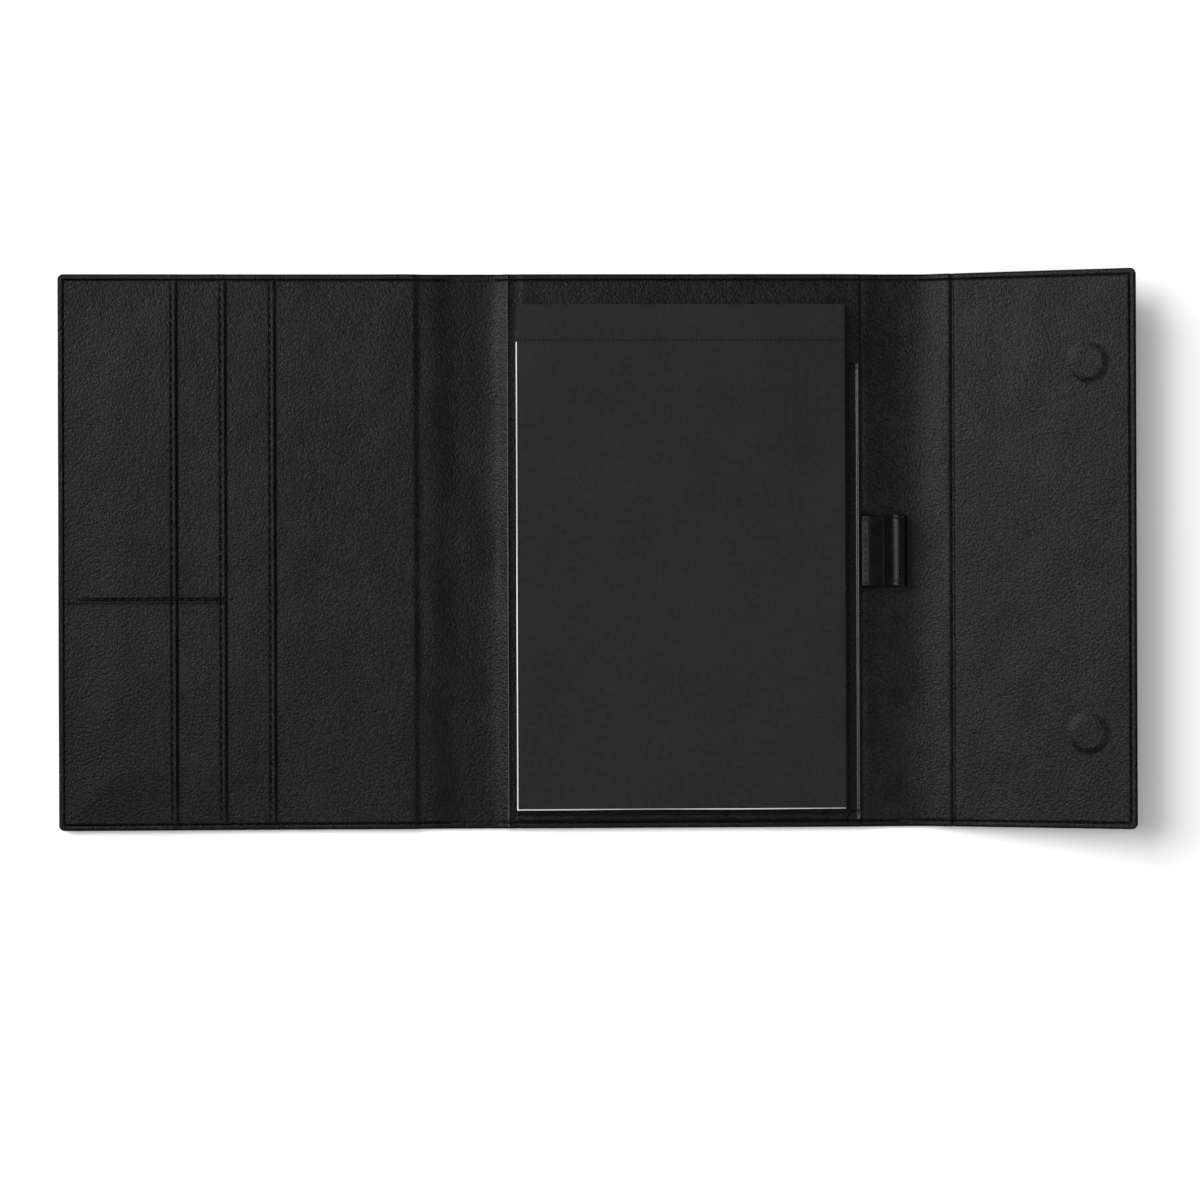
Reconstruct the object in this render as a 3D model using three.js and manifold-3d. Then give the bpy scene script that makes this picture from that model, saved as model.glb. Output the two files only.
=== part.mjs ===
// Leather padfolio lying open: a front cover with pockets, a soft spine, a
// centre panel that carries a head-bound writing pad and a pen loop, a second
// soft spine, and a closing flap with two magnets that stands a little up.
// Millimetres, +Z up. X runs across the open folder, Y along the spines.
// Z = 0 is the table, and X = Y = 0 is the middle of the open folder.
import * as THREE from "three";
import { mergeVertices } from "three/addons/utils/BufferGeometryUtils.js";
import Module from "manifold-3d";

const wasm = await Module();
wasm.setup();

// ---------------------------------------------------------------- dimensions
const HALF_H = 126; // half of the folder's height along Y
const OUTER_LEFT = -242.4; // free edge of the front cover
const LEATHER = 1.0; // outer leather
const BOARD = 2.0; // stiffening board
const LINING = 0.8; // lining leather
const GAP = 0.05; // between stacked layers
const BORDER = 2.4; // sewn border, where there is no board
const CORNER_R = 2.5; // outer corners

const FOLD_Z = 0.9; // height of the fold lines
const FOLD_1 = -79.9; // front cover to left spine
const FOLD_2 = -41.5; // left spine to centre panel
const FOLD_3 = 123.2; // centre panel to right spine
const FOLD_4 = 163.4; // right spine to flap
const GUTTER = 1.25; // leather kept back from a fold line

const FRONT_BOARD_RIGHT = -81.7; // edge of the front cover's stiff part
const CENTRE_LEFT = -38.8; // edges of the centre panel's stiff part
const CENTRE_RIGHT = 121.8;

const POCKET_T = 1.1; // pocket leather
const POCKET_LEFT = OUTER_LEFT + 2.9;
const POCKET_EDGES = [-143.8, -166.0, -188.1]; // open edges, rear to front
const KEEPER_X = -196.4; // steel plates the magnets close on
const MAGNET_Y = [83.8, -83.0];

const PAD_X = [-34.5, 113.7]; // A5 pad
const PAD_TOP = 111.5; // head of the pad
const PAD_CREASE = 94.9; // crease of the cover leaf
const PAD_BOTTOM = -117.1;
const PAD_COVER_BOTTOM = -116.6;
const PAD_BACK_T = 1.0;
const PAD_POCKET_TOP = 85.2; // mouth of the pad pocket
const PAD_POCKET_T = 1.1;
const PAD_TOP_Z = 12.05;
const COVER_T = 0.4;

const FLAP_ANGLE = (15.4 * Math.PI) / 180; // flap's rise at rest
const FLAP_LEN = 83.04; // along the slope, from the fold line
const BEND_START = 150; // where the right spine starts to curve up
const FLAP_BOARD = 1.5;
const FLAP_GAP = 0.3;
const MAGNET_R = 8.5;
const MAGNET_T = 2.3;
const MAGNET_S = 61.25; // from the fold line, along the slope
const BUMP_R = 9.6;
const BUMP_H = 1.1;

const LOOP_Y = [-16.6, 15.9];

// ---------------------------------------------------------------- materials
const leather = (c, r) =>
  new THREE.MeshStandardMaterial({ color: c, roughness: r, metalness: 0 });
const M = {
  outer: leather(0x141415, 0.6),
  lining: leather(0x1c1c1e, 0.62),
  pocket: leather(0x1a1a1c, 0.58),
  loop: leather(0x121213, 0.32),
  board: leather(0x6b6153, 0.95),
  card: leather(0x1b1c1e, 0.85),
  paper: leather(0xf2f0ea, 0.9),
  backing: leather(0x7d7466, 0.95),
  steel: new THREE.MeshStandardMaterial({
    color: 0x9a9ca0,
    roughness: 0.35,
    metalness: 1,
  }),
};

// ---------------------------------------------------------------- helpers
const group = new THREE.Group();

function solid(geometry) {
  const g = geometry.clone();
  g.deleteAttribute("normal");
  g.deleteAttribute("uv");
  const m = mergeVertices(g, 1e-4);
  return new wasm.Manifold(
    new wasm.Mesh({
      numProp: 3,
      vertProperties: m.attributes.position.array,
      triVerts: new Uint32Array(m.index.array),
    }),
  );
}

function toGeometry(manifold) {
  const mesh = manifold.getMesh();
  const g = new THREE.BufferGeometry();
  g.setAttribute(
    "position",
    new THREE.BufferAttribute(new Float32Array(mesh.vertProperties), 3),
  );
  g.setIndex(new THREE.BufferAttribute(new Uint32Array(mesh.triVerts), 1));
  g.computeVertexNormals();
  return g;
}

function place(name, geometry, material, parent = group) {
  const mesh = new THREE.Mesh(geometry, material);
  mesh.name = name;
  parent.add(mesh);
  return mesh;
}

// A sheet over grid lines xs, ys, with its underside and top given as heights.
function sheet(xs, ys, bottom, top) {
  const nx = xs.length - 1;
  const ny = ys.length - 1;
  const g = new THREE.BoxGeometry(nx, ny, 1, nx, ny, 1);
  const p = g.attributes.position;
  for (let i = 0; i < p.count; i++) {
    const x = xs[Math.round(p.getX(i) + nx / 2)];
    const y = ys[Math.round(p.getY(i) + ny / 2)];
    p.setXYZ(i, x, y, p.getZ(i) > 0 ? top(x, y) : bottom(x, y));
  }
  return g;
}

const flat = (x0, x1, y0, y1, z0, z1) =>
  sheet([x0, x1], [y0, y1], () => z0, () => z1);

// A section in X and Z, drawn out along Y.
function drawn(points, y0, y1, holes = []) {
  const shape = new THREE.Shape(points.map(([x, z]) => new THREE.Vector2(x, z)));
  for (const h of holes)
    shape.holes.push(new THREE.Path(h.map(([x, z]) => new THREE.Vector2(x, z))));
  const g = new THREE.ExtrudeGeometry(shape, {
    depth: y1 - y0,
    bevelEnabled: false,
  });
  g.rotateX(Math.PI / 2); // section's second axis becomes Z, depth runs to -Y
  g.translate(0, y1, 0);
  return g;
}

// A plate with the outer corners rounded on one side only.
function roundedPlate(x0, x1, side) {
  const h = HALF_H;
  const r = CORNER_R;
  const s = new THREE.Shape();
  if (side < 0) {
    s.moveTo(x1, -h);
    s.lineTo(x1, h);
    s.lineTo(x0 + r, h);
    s.absarc(x0 + r, h - r, r, Math.PI / 2, Math.PI, false);
    s.lineTo(x0, -h + r);
    s.absarc(x0 + r, -h + r, r, Math.PI, Math.PI * 1.5, false);
  } else {
    s.moveTo(x0, h);
    s.lineTo(x0, -h);
    s.lineTo(x1 - r, -h);
    s.absarc(x1 - r, -h + r, r, -Math.PI / 2, 0, false);
    s.lineTo(x1, h - r);
    s.absarc(x1 - r, h - r, r, 0, Math.PI / 2, false);
  }
  s.closePath();
  return new THREE.ExtrudeGeometry(s, {
    depth: 60,
    bevelEnabled: false,
    curveSegments: 5,
  }).translate(0, 0, -20);
}

const disc = (x, y, z0, z1, r, n = 32) =>
  new THREE.CylinderGeometry(r, r, z1 - z0, n)
    .rotateX(Math.PI / 2)
    .translate(x, y, (z0 + z1) / 2);

const cut = (a, ...bs) => bs.reduce((m, b) => m.subtract(solid(b)), solid(a));

// Height of a lining that lies on its board and comes down to the outer
// leather along the sewn border. Each given edge is a border.
function liningHeight(edges, low, high) {
  return (x, y) => {
    let d = 1e9;
    if (edges.left !== undefined) d = Math.min(d, x - edges.left);
    if (edges.right !== undefined) d = Math.min(d, edges.right - x);
    if (edges.y !== undefined) d = Math.min(d, edges.y - Math.abs(y));
    const t = Math.min(Math.max((d - BORDER) / 2.0, 0), 1);
    return low + (high - low) * t;
  };
}

// ---------------------------------------------------------------- heights
const Z_BOARD = LEATHER + GAP;
const Z_LINING = Z_BOARD + BOARD + GAP;
const Z_LINING_TOP = Z_LINING + LINING; // 3.9
const Z_EDGE = LEATHER + GAP; // lining on leather at the border
const INSET = BORDER + 2.6; // board kept back from the free edges
const yLines = [
  -HALF_H,
  -HALF_H + BORDER,
  -HALF_H + BORDER + 2,
  -60,
  0,
  60,
  HALF_H - BORDER - 2,
  HALF_H - BORDER,
  HALF_H,
];

// ---------------------------------------------------------------- front cover
{
  const right = FOLD_1 - GUTTER;
  const round = solid(roundedPlate(OUTER_LEFT, right + 5, -1));
  place(
    "front_outer_leather",
    toGeometry(
      solid(flat(OUTER_LEFT, right, -HALF_H, HALF_H, 0, LEATHER)).intersect(
        round,
      ),
    ),
    M.outer,
  );
  // Board with a seat for each keeper plate.
  place(
    "front_board",
    toGeometry(
      cut(
        flat(
          OUTER_LEFT + INSET,
          FRONT_BOARD_RIGHT - 0.6,
          -HALF_H + INSET,
          HALF_H - INSET,
          Z_BOARD,
          Z_BOARD + BOARD,
        ),
        ...MAGNET_Y.map((y) =>
          disc(KEEPER_X, y, Z_BOARD - 1, Z_BOARD + BOARD + 1, MAGNET_R + 0.4),
        ),
      ),
    ),
    M.board,
  );
  MAGNET_Y.forEach((y, i) =>
    place(
      ["upper_keeper_plate", "lower_keeper_plate"][i],
      disc(KEEPER_X, y, Z_BOARD, Z_BOARD + 1.2, MAGNET_R),
      M.steel,
    ),
  );
  const h = liningHeight({ left: OUTER_LEFT, y: HALF_H }, Z_EDGE, Z_LINING);
  const xs = [
    OUTER_LEFT,
    OUTER_LEFT + BORDER,
    OUTER_LEFT + BORDER + 2,
    -200,
    -140,
    FRONT_BOARD_RIGHT,
  ];
  place(
    "front_lining",
    toGeometry(
      solid(sheet(xs, yLines, h, (x, y) => h(x, y) + LINING)).intersect(round),
    ),
    M.lining,
  );
  // Three pockets, each sewn down at its left, head and tail, and open to the
  // right. The open edge of each one is turned over and a little thicker.
  const names = ["document_pocket", "rear_card_pocket", "front_card_pocket"];
  POCKET_EDGES.forEach((edge, i) => {
    const z0 = Z_LINING_TOP + GAP + i * (POCKET_T + GAP);
    const y = HALF_H - 2.9;
    place(
      names[i],
      sheet(
        [POCKET_LEFT, POCKET_LEFT + 2, edge - 3.2, edge - 2.6, edge - 0.4, edge],
        [-y, -y + 2, 0, y - 2, y],
        () => z0,
        (xx, yy) => {
          const base = z0 + POCKET_T - 0.2;
          if (xx > edge - 0.2) return base - 0.25;
          if (xx > edge - 3) return base + 0.2;
          if (xx < POCKET_LEFT + 1 || Math.abs(yy) > y - 1) return base - 0.35;
          return base;
        },
      ),
      M.pocket,
    );
  });
}

// ---------------------------------------------------------------- left spine
{
  const x0 = FOLD_1 + GUTTER;
  const x1 = FOLD_2 - GUTTER;
  place(
    "left_spine_leather",
    flat(x0, x1, -HALF_H, HALF_H, 0, LEATHER),
    M.outer,
  );
  place(
    "left_spine_lining",
    flat(x0, x1, -HALF_H, HALF_H, LEATHER + GAP, LEATHER + GAP + LINING - 0.1),
    M.lining,
  );
}

// ---------------------------------------------------------------- centre panel
{
  place(
    "back_outer_leather",
    flat(FOLD_2 + GUTTER, FOLD_3 - GUTTER, -HALF_H, HALF_H, 0, LEATHER),
    M.outer,
  );
  place(
    "back_board",
    flat(
      CENTRE_LEFT + 0.6,
      CENTRE_RIGHT - 0.6,
      -HALF_H + INSET,
      HALF_H - INSET,
      Z_BOARD,
      Z_BOARD + BOARD,
    ),
    M.board,
  );
  const h = liningHeight({ y: HALF_H }, Z_EDGE, Z_LINING);
  place(
    "back_lining",
    sheet(
      [CENTRE_LEFT, 40, CENTRE_RIGHT],
      yLines,
      h,
      (x, y) => h(x, y) + LINING,
    ),
    M.lining,
  );

  // Backing board of the pad, slid down behind the pad pocket.
  const z1 = Z_LINING_TOP + GAP;
  place(
    "pad_backing_board",
    flat(PAD_X[0], PAD_X[1], PAD_BOTTOM, PAD_TOP - 0.5, z1, z1 + PAD_BACK_T),
    M.backing,
  );
  // Pad pocket: lies over the backing board and comes down to the lining
  // beside it and below it.
  const z2 = z1 + PAD_BACK_T + GAP;
  const px = [-37.6, -36.3, PAD_X[0] - 0.4, PAD_X[1] + 0.4, 116.5, 121.0];
  const py = [-122.4, -120.6, PAD_BOTTOM - 0.4, -40, 30, PAD_POCKET_TOP];
  const low = (x, y) =>
    x < -36 || x > 115 || y < -120 ? z1 : z2;
  place(
    "pad_pocket",
    sheet(px, py, low, (x, y) => low(x, y) + PAD_POCKET_T),
    M.pocket,
  );
  // Sheets: glued to the backing board at the head, over the pocket below it.
  const z3 = z2 + PAD_POCKET_T + GAP;
  const zs = PAD_TOP_Z - COVER_T - GAP;
  place(
    "pad_sheets",
    sheet(
      [PAD_X[0] - 0.7, PAD_X[1] - 0.2],
      [PAD_BOTTOM, PAD_POCKET_TOP + 0.6, PAD_CREASE, PAD_TOP - 0.6],
      (x, y) => (y > PAD_CREASE - 0.1 ? z2 : z3),
      () => zs,
    ),
    M.paper,
  );
  // Head binding: covers the stub from the crease and turns down over the head.
  place(
    "pad_head_binding",
    drawn(
      [
        [PAD_CREASE + 0.3, zs + GAP],
        [PAD_TOP - 0.5, zs + GAP],
        [PAD_TOP - 0.5, z1],
        [PAD_TOP, z1],
        [PAD_TOP, PAD_TOP_Z - 0.2],
        [PAD_TOP - 0.2, PAD_TOP_Z],
        [PAD_CREASE + 0.3, PAD_TOP_Z],
      ],
      -PAD_X[1],
      -PAD_X[0],
    ).rotateZ(Math.PI / 2),
    M.card,
  );
  // Cover leaf of the pad.
  place(
    "pad_cover",
    flat(
      PAD_X[0],
      PAD_X[1],
      PAD_COVER_BOTTOM,
      PAD_CREASE - 0.6,
      PAD_TOP_Z - COVER_T,
      PAD_TOP_Z,
    ),
    M.card,
  );

  // Pen loop: one strip folded over, both ends sewn at the panel's edge.
  place(
    "pen_loop",
    drawn(
      [
        [122.1, 2.2],
        [141.0, 2.2],
        [142.2, 3.6],
        [142.4, 7.2],
        [141.4, 9.0],
        [139.4, 9.8],
        [137.0, 9.6],
        [135.1, 8.3],
        [133.9, 6.2],
        [132.9, 4.9],
        [130.5, 4.5],
        [122.1, 4.4],
      ],
      LOOP_Y[0],
      LOOP_Y[1],
      [
        [
          [133.5, 3.35],
          [134.2, 4.2],
          [135.0, 5.8],
          [136.0, 7.7],
          [137.6, 8.6],
          [139.2, 8.7],
          [140.6, 8.2],
          [141.3, 7.0],
          [141.25, 4.2],
          [140.6, 3.35],
        ],
      ],
    ),
    M.loop,
  );
}

// ---------------------------------------------------------------- right spine
// Flat on the table, then curving up to the flap's slope.
const bendR = (FOLD_4 - BEND_START) / Math.sin(FLAP_ANGLE);
const foldX4 = FOLD_4;
const foldZ4 = FOLD_Z + bendR * (1 - Math.cos(FLAP_ANGLE));
{
  const end = FLAP_ANGLE * (1 - GUTTER / (bendR * FLAP_ANGLE));
  const curve = (z) => {
    // points of a surface at height z on the flat part
    const pts = [[FOLD_3 + GUTTER, z]];
    const n = 6;
    for (let i = 0; i <= n; i++) {
      const a = (end * i) / n;
      const r = bendR - (z - FOLD_Z);
      pts.push([BEND_START + r * Math.sin(a), FOLD_Z + bendR - r * Math.cos(a)]);
    }
    return pts;
  };
  const layer = (z0, z1) => [...curve(z0), ...curve(z1).reverse()];
  place(
    "right_spine_leather",
    drawn(layer(0, LEATHER), -HALF_H, HALF_H),
    M.outer,
  );
  place(
    "right_spine_lining",
    drawn(layer(LEATHER + 0.2, LEATHER + 0.2 + LINING - 0.1), -HALF_H, HALF_H),
    M.lining,
  );
}

// ---------------------------------------------------------------- flap
// Built flat in its own group, from the fold line outwards along +X, then
// turned up by the rest angle about the fold line.
{
  const flap = new THREE.Group();
  flap.position.set(foldX4, 0, foldZ4);
  flap.rotation.y = -FLAP_ANGLE;
  group.add(flap);
  const z0 = -FOLD_Z; // underside
  const round = solid(roundedPlate(-5, FLAP_LEN, 1));
  const start = GUTTER + 0.1;
  const zb = z0 + LEATHER + FLAP_GAP;
  const zl = zb + FLAP_BOARD + FLAP_GAP;
  place(
    "flap_outer_leather",
    toGeometry(
      solid(
        flat(start, FLAP_LEN, -HALF_H, HALF_H, z0, z0 + LEATHER),
      ).intersect(round),
    ),
    M.outer,
    flap,
  );
  place(
    "flap_board",
    toGeometry(
      cut(
        flat(
          4.2,
          FLAP_LEN - INSET,
          -HALF_H + INSET,
          HALF_H - INSET,
          zb,
          zb + FLAP_BOARD,
        ),
        ...MAGNET_Y.map((y) =>
          disc(MAGNET_S, y, zb - 1, zb + FLAP_BOARD + 1, MAGNET_R + 0.5),
        ),
      ),
    ),
    M.board,
    flap,
  );
  MAGNET_Y.forEach((y, i) =>
    place(
      ["upper_magnet", "lower_magnet"][i],
      disc(MAGNET_S, y, zb, zb + MAGNET_T, MAGNET_R, 28),
      M.steel,
      flap,
    ),
  );
  const ze = z0 + LEATHER + FLAP_GAP;
  const h = liningHeight({ right: FLAP_LEN, y: HALF_H }, ze, zl);
  const skirt = (x, y) => (x < 2.6 ? ze : h(x, y));
  const xs = [
    start,
    2.2,
    4.0,
    30,
    FLAP_LEN - BORDER - 2,
    FLAP_LEN - BORDER,
    FLAP_LEN,
  ];
  let lining = solid(
    sheet(xs, yLines, skirt, (x, y) => skirt(x, y) + LINING),
  ).intersect(round);
  const lathe = (pts, y) =>
    solid(
      new THREE.LatheGeometry(
        pts.map(([r, z]) => new THREE.Vector2(r, z)),
        28,
      )
        .rotateX(Math.PI / 2)
        .translate(MAGNET_S, y, zl),
    );
  for (const y of MAGNET_Y) {
    lining = lining
      .add(
        lathe(
          [
            [0, 0.2],
            [BUMP_R + 0.6, 0.2],
            [BUMP_R + 0.6, LINING + 0.02],
            [BUMP_R - 0.6, LINING + BUMP_H - 0.3],
            [BUMP_R - 2.0, LINING + BUMP_H],
            [0, LINING + BUMP_H + 0.1],
          ],
          y,
        ),
      )
      .subtract(
        lathe(
          [
            [0, -1],
            [MAGNET_R + 0.4, -1],
            [MAGNET_R + 0.4, BUMP_H - 0.25],
            [0, BUMP_H - 0.25],
          ],
          y,
        ),
      );
  }
  place("flap_lining", toGeometry(lining), M.lining, flap);
}

export default group;
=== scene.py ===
# The looks of an open leather padfolio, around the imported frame.
# Lengths in this file are millimetres until a mesh is made; meshes are metres.
import math

import bpy
import numpy as np
from mathutils import Matrix, Vector
from mathutils import Quaternion

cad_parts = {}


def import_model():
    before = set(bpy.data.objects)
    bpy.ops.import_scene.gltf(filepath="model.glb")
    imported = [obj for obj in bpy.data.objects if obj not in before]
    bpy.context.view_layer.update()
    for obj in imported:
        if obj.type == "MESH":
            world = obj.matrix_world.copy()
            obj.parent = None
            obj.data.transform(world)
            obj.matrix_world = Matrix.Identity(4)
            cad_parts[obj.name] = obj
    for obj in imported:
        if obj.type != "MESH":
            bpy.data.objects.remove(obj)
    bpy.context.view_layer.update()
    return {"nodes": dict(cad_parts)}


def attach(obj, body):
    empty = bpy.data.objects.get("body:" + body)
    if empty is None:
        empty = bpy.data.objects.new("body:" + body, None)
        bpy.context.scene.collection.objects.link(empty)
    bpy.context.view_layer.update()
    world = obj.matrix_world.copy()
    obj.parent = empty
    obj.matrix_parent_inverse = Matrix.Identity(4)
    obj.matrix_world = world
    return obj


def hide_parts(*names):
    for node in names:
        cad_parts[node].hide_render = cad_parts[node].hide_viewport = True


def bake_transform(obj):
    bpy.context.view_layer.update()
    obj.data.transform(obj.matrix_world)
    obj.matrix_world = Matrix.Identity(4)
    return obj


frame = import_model()

# ------------------------------------------------------------ dimensions
HALF = 126.0
LEFT = -242.4
FZ = 0.9  # height of the fold lines; n is measured from here
F1, F2, F3, F4 = -79.9, -41.5, 123.2, 163.4
A_RIGHT = -81.7
C_LEFT, C_RIGHT = -38.8, 121.8
ANG = math.radians(15.4)
BEND = 150.0
RAD = (F4 - BEND) / math.sin(ANG)
U4 = BEND + RAD * ANG  # arc length position of the flap's fold line
FLAP = 83.04
U_END = U4 + FLAP
MAGNETS = [(U4 + 61.7, 84.1), (U4 + 61.7, -83.0)]
PITCH = 4.05
PAD_X0, PAD_X1 = -34.7, 113.7
PAD_TOP, CREASE = 111.5, 94.9
PAD_BOTTOM, COVER_BOTTOM = -117.1, -116.6
PAD_Z = 12.05
LOOP_Y0, LOOP_Y1 = -16.6, 15.9
P_LEFT, P_Y = LEFT + 3.1, HALF - 3.1
P_EDGES = [-143.8, -166.0, -188.1]
DIV_Y = -21.7
SEAM = 2.7  # from a free edge to its stitches


# ------------------------------------------------------------ small tools
def smooth(t):
    t = np.clip(t, 0.0, 1.0)
    return t * t * (3 - 2 * t)


def bump1(x, c, w):
    """A round bump of half width w about c."""
    return np.exp(-(((x - c) / w) ** 2))


def waves(seed, lam, amp, n=9):
    """A smooth uneven surface: a sum of a few long waves in x and y."""
    r = np.random.default_rng(seed)
    k = 2 * math.pi / (lam * r.uniform(0.7, 1.6, n))
    th = r.uniform(0, 2 * math.pi, n)
    ph = r.uniform(0, 2 * math.pi, n)
    a = amp / math.sqrt(n / 2)

    def f(x, y):
        s = 0.0
        for i in range(n):
            s = s + np.sin(k[i] * (x * math.cos(th[i]) + y * math.sin(th[i])) + ph[i])
        return a * s

    return f


def world(u, y, n):
    """Position from arc length u, y and height n over the neutral surface."""
    u, y, n = np.broadcast_arrays(
        np.asarray(u, float), np.asarray(y, float), np.asarray(n, float)
    )
    a = np.clip((u - BEND) / RAD, 0.0, ANG)
    flat = u <= BEND
    far = np.maximum(u - U4, 0.0)
    x = np.where(flat, u, BEND + RAD * np.sin(a) + far * math.cos(ANG))
    z = np.where(flat, FZ, FZ + RAD * (1 - np.cos(a)) + far * math.sin(ANG))
    return np.stack([x - n * np.sin(a), y, z + n * np.cos(a)], -1)


def profile(points, sigma=0.35):
    """A smooth curve through (u, n) points, softened by sigma millimetres."""
    p = np.array(points, float)
    us = np.arange(p[0, 0], p[-1, 0] + 0.05, 0.1)
    v = np.interp(us, p[:, 0], p[:, 1])
    k = np.exp(-0.5 * (np.arange(-30, 31) * 0.1 / sigma) ** 2)
    k /= k.sum()
    v = np.convolve(np.pad(v, 30, mode="edge"), k, mode="valid")
    return lambda u: np.interp(u, us, v)


def mesh_object(name, verts, faces, mat, smooth_shade=True, sharp_deg=40):
    me = bpy.data.meshes.new(name)
    me.from_pydata((np.asarray(verts) * 0.001).tolist(), [], faces)
    me.validate()
    if smooth_shade:
        me.polygons.foreach_set("use_smooth", [True] * len(me.polygons))
        me.set_sharp_from_angle(angle=math.radians(sharp_deg))
    me.materials.append(mat)
    ob = bpy.data.objects.new(name, me)
    bpy.context.scene.collection.objects.link(ob)
    return ob


def grid_faces(nu, nv, off=0, flip=False):
    i = np.arange(nu - 1)[:, None]
    j = np.arange(nv - 1)[None, :]
    a = off + i * nv + j
    f = np.stack([a, a + nv, a + nv + 1, a + 1], -1).reshape(-1, 4)
    return f[:, ::-1] if flip else f


def shell(name, us, ys, top, bottom, mat, place=world, corners=(), sharp=50, paint=()):
    """A closed sheet over grid lines us and ys with heights top and bottom.
    paint holds (material, mask) pairs. The first one also covers the sides."""
    us, ys = np.asarray(us, float), np.asarray(ys, float)
    U, Y = np.meshgrid(us, ys, indexing="ij")
    nt, nb = top(U, Y), bottom(U, Y)
    Um, Ym = round_corners(U, Y, corners)
    nu, nv = len(us), len(ys)
    v = np.concatenate(
        [place(Um, Ym, nt).reshape(-1, 3), place(Um, Ym, nb).reshape(-1, 3)]
    )
    N = nu * nv
    f = [grid_faces(nu, nv), grid_faces(nu, nv, N, True)]
    ring = (
        [i * nv for i in range(nu)]
        + [(nu - 1) * nv + j for j in range(1, nv)]
        + [i * nv + nv - 1 for i in range(nu - 2, -1, -1)]
        + [j for j in range(nv - 2, 0, -1)]
    )
    side = []
    for k in range(len(ring)):
        a, b = ring[k], ring[(k + 1) % len(ring)]
        side.append((a, a + N, b + N, b))
    faces = [tuple(int(q) for q in r) for part in f for r in part] + side
    ob = mesh_object(name, v, faces, mat, sharp_deg=sharp)
    if paint:
        um = 0.25 * (U[1:, 1:] + U[:-1, 1:] + U[1:, :-1] + U[:-1, :-1])
        ym = 0.25 * (Y[1:, 1:] + Y[:-1, 1:] + Y[1:, :-1] + Y[:-1, :-1])
        index = np.zeros(um.shape, int)
        for k, (other, mask) in enumerate(paint):
            ob.data.materials.append(other)
            index[mask(um, ym)] = k + 1
        index = index.ravel()
        index = np.concatenate([index, index, np.ones(len(side), int)])
        ob.data.polygons.foreach_set("material_index", index.tolist())
    return ob


def round_corners(U, Y, corners, r=2.5):
    """Rounds the outer corners. corners holds (edge u, side) with side -1 or 1."""
    U, Y = U.copy(), Y.copy()
    for edge, side in corners:
        uc = edge - side * r
        a = (U - uc) * side / r
        b = (np.abs(Y) - (HALF - r)) / r
        m = (a > 0) & (b > 0)
        a2 = np.where(m, a * np.sqrt(np.maximum(1 - b * b / 2, 0)), a)
        b2 = np.where(m, b * np.sqrt(np.maximum(1 - a * a / 2, 0)), b)
        U = np.where(m, uc + side * r * a2, U)
        Y = np.where(m, np.sign(Y) * (HALF - r + r * b2), Y)
    return U, Y


def lines(a, b, step, dense=()):
    """Grid lines from a to b. dense holds (from, to, step) stretches."""
    pts = [a]
    x = a
    while x < b - 1e-6:
        s = step
        for lo, hi, st in dense:
            if lo - 1e-6 <= x < hi - 1e-6:
                s = min(s, st)
            elif x < lo < x + s:
                s = min(s, lo - x)
        x = min(x + s, b)
        pts.append(x)
    if len(pts) > 2 and pts[-1] - pts[-2] < 0.05:
        pts.pop(-2)
    return np.array(pts)


EDGE = [0, 0.08, 0.2, 0.4, 0.7, 1.1, 1.6, 1.95, 2.15, 2.35, 2.55, 2.75, 3.0, 3.3, 3.7, 4.2, 4.8, 5.5, 6.3]


def y_lines(step=2.0, dense=()):
    mid = lines(-HALF + EDGE[-1], HALF - EDGE[-1], step, dense)
    return np.concatenate(
        [[-HALF + e for e in EDGE[:-1]], mid, [HALF - e for e in EDGE[:-1]][::-1]]
    )


def edge_u(edge, side):
    """Dense grid lines inwards from a free edge. side -1 is a left edge."""
    return [edge - side * e for e in EDGE]


# ------------------------------------------------------------ materials
def new_mat(name):
    m = bpy.data.materials.new(name)
    m.use_nodes = True
    nt = m.node_tree
    nt.nodes.clear()
    out = nt.nodes.new("ShaderNodeOutputMaterial")
    bsdf = nt.nodes.new("ShaderNodeBsdfPrincipled")
    nt.links.new(bsdf.outputs[0], out.inputs[0])
    return m, nt, bsdf


def node(nt, kind, **values):
    n = nt.nodes.new(kind)
    for k, v in values.items():
        if k.startswith("_"):
            setattr(n, k[1:], v)
        else:
            n.inputs[k.replace("__", " ")].default_value = v
    return n


def math_node(nt, op, a, b=None, clamp=False):
    n = nt.nodes.new("ShaderNodeMath")
    n.operation = op
    n.use_clamp = clamp
    for i, v in enumerate((a, b)):
        if v is None:
            continue
        if isinstance(v, (int, float)):
            n.inputs[i].default_value = v
        else:
            nt.links.new(v, n.inputs[i])
    return n.outputs[0]


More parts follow.
